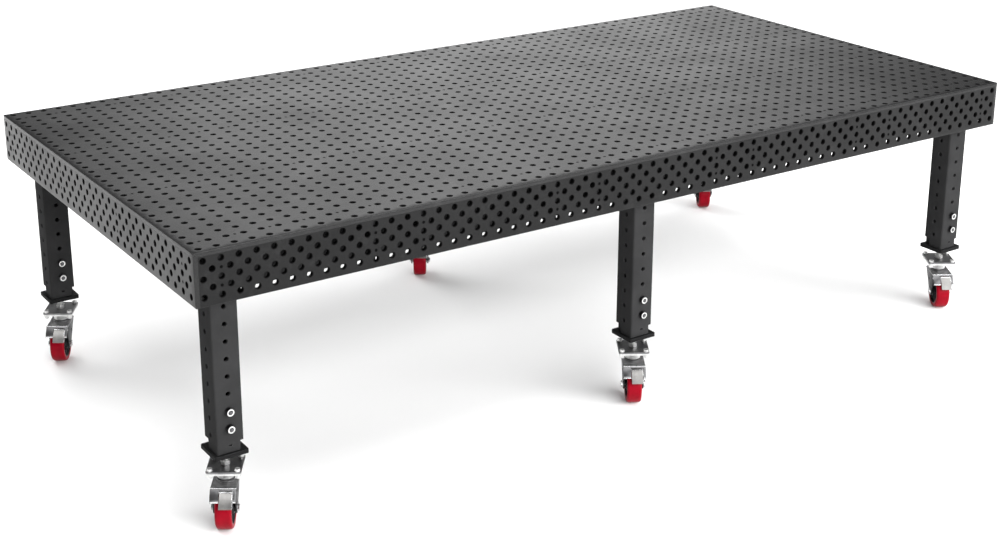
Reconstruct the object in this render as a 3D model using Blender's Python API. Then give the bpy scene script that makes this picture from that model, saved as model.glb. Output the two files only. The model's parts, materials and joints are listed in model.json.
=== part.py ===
"""Perforated welding table on six height-adjustable castor legs, in metres, +Z up.

The origin is on the floor, under the middle of the top. X runs along the table, Y across it.
"""

import math

import bmesh
import bpy
from mathutils import Matrix

# Table block
TABLE_LENGTH = 3.000
TABLE_WIDTH = 1.500
TABLE_HEIGHT = 0.830
BLOCK_DEPTH = 0.150
PLATE = 0.012
EDGE_CHAMFER = 0.0015
GAP = 0.0003

# Hole system: 16 mm holes on a 50 mm grid. Only these few are cut in the solids.
HOLE_RADIUS = 0.008
HOLE_SIDES = 12
TOP_HOLES_X = (-1.125, -0.525, 0.525, 1.125)
TOP_HOLES_Y = (-0.425, 0.425)
SIDE_HOLE_DEPTH = 0.075

# Ribs under the top
RIB = 0.008
CROSS_RIB_X = (0.225, 0.375, 0.825, 0.975, 1.425)
LONG_RIB_Y = (0.225, 0.675)
RIB_LAP_CLEARANCE = 0.0005

# Legs
LEG_X = 1.3975
LEG_Y = 0.6475
LEG_OUTER = 0.080
LEG_WALL = 0.008
LEG_CORNER = 0.004
LEG_BOTTOM = 0.222
LEG_HEAD_PLATE = 0.110
LEG_HEAD_THICKNESS = 0.008
LEG_HOLE_RADIUS = 0.0065
LEG_HOLE_SIDES = 8
LEG_HOLE_PITCH = 0.050
TOP_LEG_HOLE = 0.6425
OPEN_LEG_HOLES = 6
NOTCH = (0.012, 0.026, 0.028)
DRAIN_SLOT = (0.010, 0.005)
DRAIN_SLOT_Z = 0.242

# Clamping bolts in the two holes of each leg below the open ones
CLAMPING_BOLTS = 2
BOLT_RADIUS = 0.006
WASHER = (0.0125, 0.0025)
NUT_ACROSS_FLATS = 0.021
NUT_THICKNESS = 0.0105
BOLT_END = 0.004

# Feet: base plate with an insert tube that telescopes in the leg
BASE_PLATE = 0.099
BASE_THICKNESS = 0.012
BASE_CORNER = 0.006
INSERT_OUTER = 0.063
INSERT_WALL = 0.004
INSERT_TOP = 0.480
INSERT_SLOT = (0.0136, 0.284, 0.452)
STEM_RADIUS = 0.009
STEM_TOP = 0.254

# Castors; u is the trail direction, v is across the wheel
CASTOR_YAW = math.radians(-122.6)
CASTOR_PLATE = (0.100, 0.096)
MOUNT_PLATE_TOP = 0.170
ADAPTER_THICKNESS = 0.005
MOUNT_THICKNESS = 0.006
CASTOR_PLATE_CORNER = 0.005
MOUNT_BOLTS = (0.041, 0.0375)
MOUNT_BOLT_HEX = 0.015
MOUNT_BOLT_ENDS = (0.009, 0.007)
STEM_NUT = (0.024, 0.013)
LOCK_NUT = (0.030, 0.012)
NECK_RADIUS = 0.0245
CROWN_TOP = 0.130
CROWN_THICKNESS = 0.005
CROWN_U = (-0.030, 0.062)
CROWN_HALF_WIDTH = 0.035
COVER_INNER_U = 0.058
COVER_LIP = ((0.082, 0.109), (0.085, 0.112))
WINDOW_U = (0.0605, 0.095)
WINDOW_Z = (0.090, 0.1245)
AXLE_U = 0.038
AXLE_Z = 0.058
AXLE_RADIUS = 0.006
AXLE_HALF_LENGTH = 0.0385
AXLE_NUT_HEX = 0.019
ARM_INNER = 0.028
ARM_THICKNESS = 0.004
ARM_TOP_U = (-0.028, 0.060)
ARM_TOP_DROP = 0.002
ARM_END_RADIUS = 0.015
ARM_ARC_DEGREES = (-200, 15)
ARM_SHOULDER = (0.064, 0.112)
WHEEL_RADIUS = 0.058
WHEEL_SIDES = 20
TREAD_HALF_WIDTH = 0.023
HUB_HALF_WIDTH = 0.0265
HUB_BOSS_RADIUS = 0.014
WEB_HALF_WIDTH = 0.014
WEB_RADII = (0.015, 0.043)
TREAD_INNER_RADIUS = 0.045
TREAD_SHOULDER = 0.005
PEDAL_PIVOT = (0.067, 0.1175)
PEDAL_ARC_RADIUS = 0.070
PEDAL_THICKNESS = 0.003
PEDAL_V = (-0.0095, 0.0265)
PEDAL_ARC_DEGREES = (24, 64)
PEDAL_BARREL_RADIUS = 0.004

LEG_PLACES = {
    "front_left": (-LEG_X, -LEG_Y),
    "front_middle": (0.0, -LEG_Y),
    "front_right": (LEG_X, -LEG_Y),
    "back_left": (-LEG_X, LEG_Y),
    "back_middle": (0.0, LEG_Y),
    "back_right": (LEG_X, LEG_Y),
}

BLOCK_BOTTOM = TABLE_HEIGHT - BLOCK_DEPTH
UNDER_TOP = TABLE_HEIGHT - PLATE - GAP


def clear_scene():
    for item in list(bpy.data.objects):
        bpy.data.objects.remove(item, do_unlink=True)


def material(name, colour, roughness, metallic):
    made = bpy.data.materials.new(name)
    made.use_nodes = True
    shader = made.node_tree.nodes["Principled BSDF"]
    shader.inputs["Base Color"].default_value = (*colour, 1.0)
    shader.inputs["Roughness"].default_value = roughness
    shader.inputs["Metallic"].default_value = metallic
    return made


# Primitive solids, each a new bmesh

def prism(outline, low, high):
    """An outline of (x, y) points, anticlockwise, extruded from z = low to z = high."""
    shape = bmesh.new()
    lower = [shape.verts.new((x, y, low)) for x, y in outline]
    upper = [shape.verts.new((x, y, high)) for x, y in outline]
    shape.faces.new(lower[::-1])
    shape.faces.new(upper)
    for i in range(len(outline)):
        j = (i + 1) % len(outline)
        shape.faces.new((lower[i], lower[j], upper[j], upper[i]))
    return shape


def box(x, y, z):
    """A box given by its low and high limits along each axis."""
    return prism([(x[0], y[0]), (x[1], y[0]), (x[1], y[1]), (x[0], y[1])], z[0], z[1])


def ring_points(radius, sides, turn=0.0, centre=(0.0, 0.0)):
    angles = [turn + 2 * math.pi * i / sides for i in range(sides)]
    return [(centre[0] + radius * math.cos(a), centre[1] + radius * math.sin(a)) for a in angles]


def rounded_rectangle(half_x, half_y, corner, steps=2):
    """An anticlockwise outline with each corner as an arc of the given radius."""
    points = []
    for index, (sx, sy) in enumerate(((1, 1), (-1, 1), (-1, -1), (1, -1))):
        for step in range(steps + 1):
            angle = math.pi / 2 * (index + step / steps)
            points.append((sx * (half_x - corner) + corner * math.cos(angle),
                           sy * (half_y - corner) + corner * math.sin(angle)))
    return points


def arc_points(centre, radius, start, end, steps):
    angles = [start + (end - start) * i / steps for i in range(steps + 1)]
    return [(centre[0] + radius * math.cos(a), centre[1] + radius * math.sin(a)) for a in angles]


def turned(shape, matrix):
    bmesh.ops.transform(shape, matrix=matrix, verts=shape.verts)
    return shape


def moved(shape, x=0.0, y=0.0, z=0.0):
    return turned(shape, Matrix.Translation((x, y, z)))


def along_y(shape):
    """Turns a shape drawn in (x, y) and extruded in z so that it is drawn in (x, z) and extruded in -y."""
    return turned(shape, Matrix.Rotation(math.pi / 2, 4, "X"))


def along_x(shape):
    """Turns a shape extruded along z so that it is extruded along x."""
    return turned(shape, Matrix.Rotation(math.pi / 2, 4, "Y"))


def hexagon(across_flats, turn=0.0):
    return ring_points(across_flats / math.sqrt(3), 6, turn)


def lathe(profile, sides, turn):
    """A closed profile of (radius, height) points turned about z, with no point on the axis."""
    shape = bmesh.new()
    rings = []
    for i in range(sides):
        angle = turn + 2 * math.pi * i / sides
        rings.append([shape.verts.new((r * math.cos(angle), r * math.sin(angle), h))
                      for r, h in profile])
    for i in range(sides):
        here, following = rings[i], rings[(i + 1) % sides]
        for j in range(len(profile)):
            k = (j + 1) % len(profile)
            shape.faces.new((here[j], following[j], following[k], here[k]))
    bmesh.ops.recalc_face_normals(shape, faces=shape.faces)
    return shape


# From primitives to objects

def as_object(name, shape):
    mesh = bpy.data.meshes.new(name)
    shape.to_mesh(mesh)
    shape.free()
    made = bpy.data.objects.new(name, mesh)
    bpy.context.scene.collection.objects.link(made)
    return made


def joined_mesh(name, body, *steps):
    """The mesh of a body after its steps, each an operation and the solids to add or cut in turn."""
    base = as_object(name, body)
    helpers = []
    for operation, shapes in steps:
        for shape in shapes:
            helper = as_object(name + "_helper", shape)
            helper.hide_render = True
            helper.display_type = "WIRE"
            helpers.append(helper)
            modifier = base.modifiers.new(operation.lower(), "BOOLEAN")
            modifier.operation = operation
            modifier.solver = "EXACT"
            modifier.object = helper
    bpy.context.view_layer.update()
    evaluated = base.evaluated_get(bpy.context.evaluated_depsgraph_get())
    mesh = bpy.data.meshes.new_from_object(evaluated)
    for item in (base, *helpers):
        bpy.data.objects.remove(item, do_unlink=True)
    return mesh


def place(name, mesh, finish, parent=None, at=(0.0, 0.0, 0.0)):
    """An object of that mesh, with its origin at the given place under its parent."""
    made = bpy.data.objects.new(name, mesh)
    bpy.context.scene.collection.objects.link(made)
    if not mesh.materials:
        mesh.materials.append(finish)
        mesh.shade_smooth()
        mesh.set_sharp_from_angle(angle=math.radians(30))
    made.parent = parent
    made.location = at
    return made


# The table block

def bevelled_top():
    half_x, half_y = TABLE_LENGTH / 2, TABLE_WIDTH / 2
    shape = box((-half_x, half_x), (-half_y, half_y), (TABLE_HEIGHT - PLATE, TABLE_HEIGHT))
    upper = [e for e in shape.edges if all(v.co.z > TABLE_HEIGHT - PLATE / 2 for v in e.verts)]
    bmesh.ops.bevel(shape, geom=upper, offset=EDGE_CHAMFER, segments=1, affect="EDGES")
    return shape


def top_plate():
    holes = [prism(ring_points(HOLE_RADIUS, HOLE_SIDES, centre=(x, y)),
                   TABLE_HEIGHT - 2 * PLATE, TABLE_HEIGHT + PLATE)
             for x in TOP_HOLES_X for y in TOP_HOLES_Y]
    return joined_mesh("top_plate", bevelled_top(), ("DIFFERENCE", holes))


def side_hole(x, y, across):
    """A hole cutter through a side plate; across is the turn that lays it through the plate."""
    cutter = prism(ring_points(HOLE_RADIUS, HOLE_SIDES), -2 * PLATE, 2 * PLATE)
    return moved(across(cutter), x, y, TABLE_HEIGHT - SIDE_HOLE_DEPTH)


def long_side(name, side):
    """A side plate along X, between the two end plates; side is -1 at the front and 1 at the back."""
    half_x = TABLE_LENGTH / 2 - PLATE - GAP
    faces = sorted((side * TABLE_WIDTH / 2, side * (TABLE_WIDTH / 2 - PLATE)))
    holes = [side_hole(x, side * (TABLE_WIDTH - PLATE) / 2, along_y)
             for x in (TOP_HOLES_X[0], TOP_HOLES_X[-1])]
    body = box((-half_x, half_x), faces, (BLOCK_BOTTOM, UNDER_TOP))
    return joined_mesh(name, body, ("DIFFERENCE", holes))


def end_side(name, side):
    half_y = TABLE_WIDTH / 2
    faces = sorted((side * TABLE_LENGTH / 2, side * (TABLE_LENGTH / 2 - PLATE)))
    holes = [side_hole(side * (TABLE_LENGTH - PLATE) / 2, y, along_x) for y in TOP_HOLES_Y]
    body = box(faces, (-half_y, half_y), (BLOCK_BOTTOM, UNDER_TOP))
    return joined_mesh(name, body, ("DIFFERENCE", holes))


def rib_places(positive):
    return [-p for p in reversed(positive)] + list(positive)


def lap_slot_x(x, low, high):
    half = RIB / 2 + RIB_LAP_CLEARANCE
    return box((x - half, x + half), (-RIB, RIB), (low, high))


def long_rib():
    """A rib along X at Y = 0, slotted from below to the middle where each cross rib laps it."""
    half_x = TABLE_LENGTH / 2 - PLATE - GAP
    middle = (BLOCK_BOTTOM + UNDER_TOP) / 2
    slots = [lap_slot_x(x, BLOCK_BOTTOM - RIB, middle) for x in rib_places(CROSS_RIB_X)]
    body = box((-half_x, half_x), (-RIB / 2, RIB / 2), (BLOCK_BOTTOM, UNDER_TOP))
    return joined_mesh("long_rib", body, ("DIFFERENCE", slots))


def cross_rib():
    """A rib along Y at X = 0, slotted from above to the middle where each long rib laps it."""
    half_y = TABLE_WIDTH / 2 - PLATE - GAP
    middle = (BLOCK_BOTTOM + UNDER_TOP) / 2
    half = RIB / 2 + RIB_LAP_CLEARANCE
    slots = [box((-RIB, RIB), (y - half, y + half), (middle - GAP, UNDER_TOP + RIB))
             for y in rib_places(LONG_RIB_Y)]
    body = box((-RIB / 2, RIB / 2), (-half_y, half_y), (BLOCK_BOTTOM, UNDER_TOP))
    return joined_mesh("cross_rib", body, ("DIFFERENCE", slots))


# Legs, drawn about their own centre line

def leg_hole(z):
    cutter = prism(ring_points(LEG_HOLE_RADIUS, LEG_HOLE_SIDES, math.pi / LEG_HOLE_SIDES),
                   -LEG_OUTER, LEG_OUTER)
    return moved(along_y(cutter), z=z)


def clamping_bolt(z):
    """A bolt along Y with a washer and nut at its front end and a washer and head at its back end."""
    face = LEG_OUTER / 2 - GAP
    nut_face = face + WASHER[1] + NUT_THICKNESS
    shapes = [prism(ring_points(BOLT_RADIUS, 8, math.pi / 8), -nut_face, nut_face + BOLT_END)]
    for side in (-1, 1):
        ends = sorted((side * face, side * (face + WASHER[1])))
        shapes.append(prism(ring_points(WASHER[0], 12), *ends))
        ends = sorted((side * (face + WASHER[1] / 2), side * nut_face))
        shapes.append(prism(hexagon(NUT_ACROSS_FLATS, math.pi / 6), *ends))
    return [moved(along_y(shape), z=z) for shape in shapes]


def leg():
    """A square tube with head plate, hole row, corner notches and its two clamping bolts."""
    half = LEG_OUTER / 2
    top = BLOCK_BOTTOM - GAP
    under_head = top - LEG_HEAD_THICKNESS
    body = prism(rounded_rectangle(half, half, LEG_CORNER), LEG_BOTTOM + GAP, under_head + GAP)
    half_head = LEG_HEAD_PLATE / 2
    head = box((-half_head, half_head), (-half_head, half_head), (under_head, top))
    inner = half - LEG_WALL
    cuts = [box((-inner, inner), (-inner, inner), (LEG_BOTTOM - LEG_WALL, under_head))]
    cuts += [leg_hole(TOP_LEG_HOLE - LEG_HOLE_PITCH * i) for i in range(OPEN_LEG_HOLES)]
    slot_x, slot_z = DRAIN_SLOT[0] / 2, DRAIN_SLOT[1] / 2
    cuts.append(box((-slot_x, slot_x), (-LEG_OUTER, LEG_OUTER),
                    (DRAIN_SLOT_Z - slot_z, DRAIN_SLOT_Z + slot_z)))
    for corner in (1, -1):
        x = sorted((corner * (half - NOTCH[0]), corner * LEG_OUTER))
        y = sorted((-corner * (half - NOTCH[1]), -corner * LEG_OUTER))
        cuts.append(box(x, y, (LEG_BOTTOM - LEG_WALL, LEG_BOTTOM + NOTCH[2])))
    bolts = []
    for i in range(CLAMPING_BOLTS):
        bolts += clamping_bolt(TOP_LEG_HOLE - LEG_HOLE_PITCH * (OPEN_LEG_HOLES + i))
    return joined_mesh("leg", body, ("UNION", [head]), ("DIFFERENCE", cuts), ("UNION", bolts))


def foot():
    """The base plate and the slotted insert tube that slides in the leg."""
    half = BASE_PLATE / 2
    plate = prism(rounded_rectangle(half, half, BASE_CORNER), LEG_BOTTOM - BASE_THICKNESS, LEG_BOTTOM)
    outer = INSERT_OUTER / 2
    inner = outer - INSERT_WALL
    tube = box((-outer, outer), (-outer, outer), (LEG_BOTTOM - GAP, INSERT_TOP))
    width, low, high = INSERT_SLOT
    cuts = [
        box((-inner, inner), (-inner, inner), (LEG_BOTTOM, INSERT_TOP + INSERT_WALL)),
        box((-width / 2, width / 2), (-LEG_OUTER, LEG_OUTER), (low, high)),
        prism(ring_points(STEM_RADIUS + 2 * GAP, 12), LEG_BOTTOM - 2 * BASE_THICKNESS,
              LEG_BOTTOM + BASE_THICKNESS),
    ]
    return joined_mesh("foot", plate, ("UNION", [tube]), ("DIFFERENCE", cuts))


# Castors, drawn with u along X and v along Y

def castor_head():
    """The threaded stem with its two nuts, the bolted mounting plates and the swivel neck."""
    half_u, half_v = CASTOR_PLATE[0] / 2, CASTOR_PLATE[1] / 2
    plate_low = MOUNT_PLATE_TOP - ADAPTER_THICKNESS - MOUNT_THICKNESS
    body = prism(rounded_rectangle(half_u, half_v, CASTOR_PLATE_CORNER, 1), plate_low, MOUNT_PLATE_TOP)
    overlap = ADAPTER_THICKNESS / 2
    base_low = LEG_BOTTOM - BASE_THICKNESS - GAP
    added = [
        prism(ring_points(NECK_RADIUS, 16), CROWN_TOP + GAP, plate_low + overlap),
        prism(ring_points(STEM_RADIUS, 12), MOUNT_PLATE_TOP - overlap, STEM_TOP),
        prism(hexagon(STEM_NUT[0]), MOUNT_PLATE_TOP - overlap, MOUNT_PLATE_TOP + STEM_NUT[1]),
        prism(hexagon(LOCK_NUT[0]), base_low - LOCK_NUT[1], base_low),
    ]
    for u in (-MOUNT_BOLTS[0], MOUNT_BOLTS[0]):
        for v in (-MOUNT_BOLTS[1], MOUNT_BOLTS[1]):
            bolt = prism(hexagon(MOUNT_BOLT_HEX), plate_low - MOUNT_BOLT_ENDS[0],
                         MOUNT_PLATE_TOP + MOUNT_BOLT_ENDS[1])
            added.append(moved(bolt, u, v))
    return joined_mesh("castor_head", body, ("UNION", added))


def fork_arm_outline():
    """A side arm in (u, z): wide under the crown, round about the axle."""
    start, end = (math.radians(angle) for angle in ARM_ARC_DEGREES)
    around = arc_points((AXLE_U, AXLE_Z), ARM_END_RADIUS, start, end, 6)
    top = CROWN_TOP - ARM_TOP_DROP
    return [(ARM_TOP_U[1], top), (ARM_TOP_U[0], top), *around, ARM_SHOULDER]


def fork():
    """Crown, two arms, the sloping front cover and the axle bolt with its nuts."""
    low = CROWN_TOP - CROWN_THICKNESS
    crown = box(CROWN_U, (-CROWN_HALF_WIDTH, CROWN_HALF_WIDTH), (low, CROWN_TOP))
    outer = ARM_INNER + ARM_THICKNESS
    added = [along_y(prism(fork_arm_outline(), *ends))
             for ends in ((ARM_INNER, outer), (-outer, -ARM_INNER))]
    cover = [(COVER_INNER_U, CROWN_TOP), (COVER_INNER_U, low), *COVER_LIP, (CROWN_U[1], CROWN_TOP)]
    added.append(along_y(prism(cover, -CROWN_HALF_WIDTH, CROWN_HALF_WIDTH)))
    axle = prism(ring_points(AXLE_RADIUS, 12), -outer, outer)
    added.append(moved(along_y(axle), AXLE_U, 0, AXLE_Z))
    for side in (-1, 1):
        ends = sorted((side * (outer - GAP), side * AXLE_HALF_LENGTH))
        added.append(moved(along_y(prism(hexagon(AXLE_NUT_HEX), *ends)), AXLE_U, 0, AXLE_Z))
    window = box(WINDOW_U, (PEDAL_V[0] - 3 * GAP, PEDAL_V[1] + 3 * GAP), WINDOW_Z)
    return joined_mesh("fork", crown, ("UNION", added), ("DIFFERENCE", [window]))


def wheel():
    """Tread and hub, turned about the axle line, with a flat of the tread on the floor."""
    corner = WHEEL_RADIUS / math.cos(math.pi / WHEEL_SIDES)
    half = [
        (AXLE_RADIUS + 2 * GAP, HUB_HALF_WIDTH), (HUB_BOSS_RADIUS, HUB_HALF_WIDTH),
        (WEB_RADII[0], WEB_HALF_WIDTH), (WEB_RADII[1], WEB_HALF_WIDTH),
        (TREAD_INNER_RADIUS, TREAD_HALF_WIDTH), (corner - TREAD_SHOULDER, TREAD_HALF_WIDTH),
        (corner, TREAD_HALF_WIDTH - TREAD_SHOULDER),
    ]
    profile = half + [(radius, -height) for radius, height in reversed(half)]
    return joined_mesh("wheel", along_y(lathe(profile, WHEEL_SIDES, math.pi / WHEEL_SIDES)))


def brake_pedal():
    """A curved pedal over the tread, nearer its +v side, with its barrel, about the pivot line."""
    centre = (AXLE_U, AXLE_Z)
    lip, top = (math.radians(angle) for angle in PEDAL_ARC_DEGREES)
    outer = arc_points(centre, PEDAL_ARC_RADIUS + PEDAL_THICKNESS / 2, lip, top, 5)
    inner = arc_points(centre, PEDAL_ARC_RADIUS - PEDAL_THICKNESS / 2, top, lip, 5)
    ends = (-PEDAL_V[1], -PEDAL_V[0])
    sheet = along_y(prism(outer + inner, *ends))
    barrel = prism(ring_points(PEDAL_BARREL_RADIUS, 8, centre=PEDAL_PIVOT), *ends)
    mesh = joined_mesh("brake_pedal", sheet, ("UNION", [along_y(barrel)]))
    mesh.transform(Matrix.Translation((-PEDAL_PIVOT[0], 0, -PEDAL_PIVOT[1])))
    return mesh


def build_block(finishes):
    place("top_plate", top_plate(), finishes["top"])
    for name, side in (("side_plate_front", -1), ("side_plate_back", 1)):
        place(name, long_side(name, side), finishes["side"])
    for name, side in (("end_plate_left", -1), ("end_plate_right", 1)):
        place(name, end_side(name, side), finishes["side"])
    shared = long_rib()
    for number, y in enumerate(rib_places(LONG_RIB_Y), 1):
        place(f"long_rib_{number}", shared, finishes["rib"], at=(0, y, 0))
    shared = cross_rib()
    for number, x in enumerate(rib_places(CROSS_RIB_X), 1):
        place(f"cross_rib_{number:02d}", shared, finishes["rib"], at=(x, 0, 0))


def build_legs(finishes):
    meshes = {
        "leg": leg(), "foot": foot(), "head": castor_head(), "fork": fork(),
        "wheel": wheel(), "pedal": brake_pedal(),
    }
    for place_name, (x, y) in LEG_PLACES.items():
        centre = bpy.data.objects.new("leg_centre_" + place_name, None)
        bpy.context.scene.collection.objects.link(centre)
        centre.location = (x, y, 0)
        swivel = bpy.data.objects.new("swivel_axis_" + place_name, None)
        bpy.context.scene.collection.objects.link(swivel)
        swivel.parent = centre
        swivel.rotation_euler.z = CASTOR_YAW
        place("leg_" + place_name, meshes["leg"], finishes["leg"], centre)
        place("foot_" + place_name, meshes["foot"], finishes["foot"], centre)
        place("castor_head_" + place_name, meshes["head"], finishes["zinc"], swivel)
        place("fork_" + place_name, meshes["fork"], finishes["zinc"], swivel)
        place("wheel_" + place_name, meshes["wheel"], finishes["tread"], swivel, (AXLE_U, 0, AXLE_Z))
        place("brake_pedal_" + place_name, meshes["pedal"], finishes["pedal"], swivel,
              (PEDAL_PIVOT[0], 0, PEDAL_PIVOT[1]))


def main():
    clear_scene()
    finishes = {
        "top": material("top_steel", (0.20, 0.20, 0.205), 0.38, 0.9),
        "side": material("side_steel", (0.12, 0.12, 0.123), 0.45, 0.9),
        "rib": material("rib_steel", (0.10, 0.10, 0.103), 0.5, 0.9),
        "leg": material("black_coat", (0.030, 0.030, 0.032), 0.45, 0.0),
        "foot": material("foot_black", (0.022, 0.022, 0.024), 0.5, 0.0),
        "zinc": material("zinc", (0.62, 0.63, 0.63), 0.3, 1.0),
        "tread": material("red_tread", (0.45, 0.012, 0.03), 0.45, 0.0),
        "pedal": material("pedal_zinc", (0.60, 0.59, 0.58), 0.35, 1.0),
    }
    build_block(finishes)
    build_legs(finishes)


main()
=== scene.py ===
"""Looks of the perforated welding table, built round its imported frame. Metres, +Z up."""

import json
import math

import bmesh
import bpy
from mathutils import Matrix, Vector


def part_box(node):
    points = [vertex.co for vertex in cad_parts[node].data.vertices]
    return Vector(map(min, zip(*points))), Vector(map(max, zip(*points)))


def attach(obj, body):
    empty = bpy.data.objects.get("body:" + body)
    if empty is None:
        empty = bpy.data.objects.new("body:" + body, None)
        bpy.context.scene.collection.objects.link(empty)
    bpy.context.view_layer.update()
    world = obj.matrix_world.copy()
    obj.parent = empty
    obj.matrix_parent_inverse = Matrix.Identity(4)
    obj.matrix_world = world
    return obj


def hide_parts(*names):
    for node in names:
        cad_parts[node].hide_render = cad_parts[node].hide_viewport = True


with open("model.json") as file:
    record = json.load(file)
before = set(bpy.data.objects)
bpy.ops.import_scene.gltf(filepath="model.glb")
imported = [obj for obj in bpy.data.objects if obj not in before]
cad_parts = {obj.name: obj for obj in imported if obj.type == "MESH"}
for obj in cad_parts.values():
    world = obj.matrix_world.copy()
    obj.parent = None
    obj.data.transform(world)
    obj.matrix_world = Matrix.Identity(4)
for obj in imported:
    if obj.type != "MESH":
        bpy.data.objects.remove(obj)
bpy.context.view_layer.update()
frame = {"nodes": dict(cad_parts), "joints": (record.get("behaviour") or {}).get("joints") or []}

PLACES = ("front_left", "front_middle", "front_right", "back_left", "back_middle", "back_right")
SAME = 1e-5  # two coordinates closer than this are equal

# Hole system
PITCH = 0.050
HOLE_RADIUS = 0.008
HOLE_SIDES = 24
HOLE_CHAMFER = 0.0017
RIB_COLUMNS = (0.225, 0.375, 0.825, 0.975, 1.425)
RIB_LINES = (0.225, 0.675)
SIDE_MARK_DEPTHS = (0.050, 0.100)

block_low, block_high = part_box("top_plate")
top_z = block_high.z
half_x, half_y = block_high.x, block_high.y
plate = block_high.z - block_low.z
side_low, side_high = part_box("side_plate_front")
end_low, end_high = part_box("end_plate_left")


# Materials

BAND = (0.3, 0.7)  # where a noise has most of its values
NARROW_BAND = (0.35, 0.65)
SHARE = (0.0, 1.0)
PLUG_EDGE = (0.0038, 0.0050)  # radii between which a plug weld fades out


def nodes_of(name):
    made = bpy.data.materials.new(name)
    made.use_nodes = True
    tree = made.node_tree
    return made, tree, tree.nodes["Principled BSDF"]


def math_node(tree, operation, a, b=None, c=None):
    node = tree.nodes.new("ShaderNodeMath")
    node.operation = operation
    for socket, value in zip(node.inputs, (a, b, c)):
        if value is None:
            continue
        if isinstance(value, (int, float)):
            socket.default_value = value
        else:
            tree.links.new(value, socket)
    return node.outputs[0]


def noise(tree, vector, scale, detail=3.0, roughness=0.55, stretch=None):
    if stretch:
        mapping = tree.nodes.new("ShaderNodeMapping")
        mapping.inputs["Scale"].default_value = stretch
        tree.links.new(vector, mapping.inputs["Vector"])
        vector = mapping.outputs[0]
    node = tree.nodes.new("ShaderNodeTexNoise")
    node.inputs["Scale"].default_value = scale
    node.inputs["Detail"].default_value = detail
    node.inputs["Roughness"].default_value = roughness
    tree.links.new(vector, node.inputs["Vector"])
    return node.outputs["Fac"]


def remap(tree, value, low, high, to_low, to_high, smooth=False):
    node = tree.nodes.new("ShaderNodeMapRange")
    node.interpolation_type = "SMOOTHSTEP" if smooth else "LINEAR"
    for key, number in (("From Min", low), ("From Max", high), ("To Min", to_low), ("To Max", to_high)):
        node.inputs[key].default_value = number
    tree.links.new(value, node.inputs["Value"])
    return node.outputs[0]


def mix_colour(tree, share, a, b):
    node = tree.nodes.new("ShaderNodeMix")
    node.data_type = "RGBA"
    tree.links.new(share, node.inputs["Factor"])
    for socket, value in ((node.inputs[6], a), (node.inputs[7], b)):
        if isinstance(value, tuple):
            socket.default_value = (*value, 1.0)
        else:
            tree.links.new(value, socket)
    return node.outputs[2]


def bump(tree, shader, height, strength, distance):
    node = tree.nodes.new("ShaderNodeBump")
    node.inputs["Strength"].default_value = strength
    node.inputs["Distance"].default_value = distance
    tree.links.new(height, node.inputs["Height"])
    tree.links.new(node.outputs[0], shader.inputs["Normal"])


def place_vector(tree):
    """Object coordinates, shifted by where the piece is so that copies of a piece differ."""
    coords = tree.nodes.new("ShaderNodeTexCoord")
    info = tree.nodes.new("ShaderNodeObjectInfo")
    add = tree.nodes.new("ShaderNodeVectorMath")
    add.operation = "ADD"
    tree.links.new(coords.outputs["Object"], add.inputs[0])
    tree.links.new(info.outputs["Location"], add.inputs[1])
    return add.outputs[0]


def edge_share(tree, radius):
    """1 on edges, 0 on flats: how far a rounded normal leans from the true one."""
    rounded = tree.nodes.new("ShaderNodeBevel")
    rounded.samples = 4
    rounded.inputs["Radius"].default_value = radius
    true = tree.nodes.new("ShaderNodeNewGeometry")
    dot = tree.nodes.new("ShaderNodeVectorMath")
    dot.operation = "DOT_PRODUCT"
    tree.links.new(rounded.outputs[0], dot.inputs[0])
    tree.links.new(true.outputs["Normal"], dot.inputs[1])
    return remap(tree, dot.outputs["Value"], 0.98, 0.80, 0.0, 1.0)


def nearest(tree, coordinate, places):
    """Distance of a coordinate to the nearest of some places, on either side of zero."""
    magnitude = math_node(tree, "ABSOLUTE", coordinate)
    found = None
    for place in places:
        away = math_node(tree, "ABSOLUTE", math_node(tree, "SUBTRACT", magnitude, place))
        found = away if found is None else math_node(tree, "MINIMUM", found, away)
    return found


def plug_share(tree, across, along):
    """1 inside a round plug weld, from two distances to its centre."""
    square = math_node(tree, "ADD", math_node(tree, "MULTIPLY", across, across),
                       math_node(tree, "MULTIPLY", along, along))
    return remap(tree, math_node(tree, "SQRT", square), *PLUG_EDGE, 1.0, 0.0, smooth=True)


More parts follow.
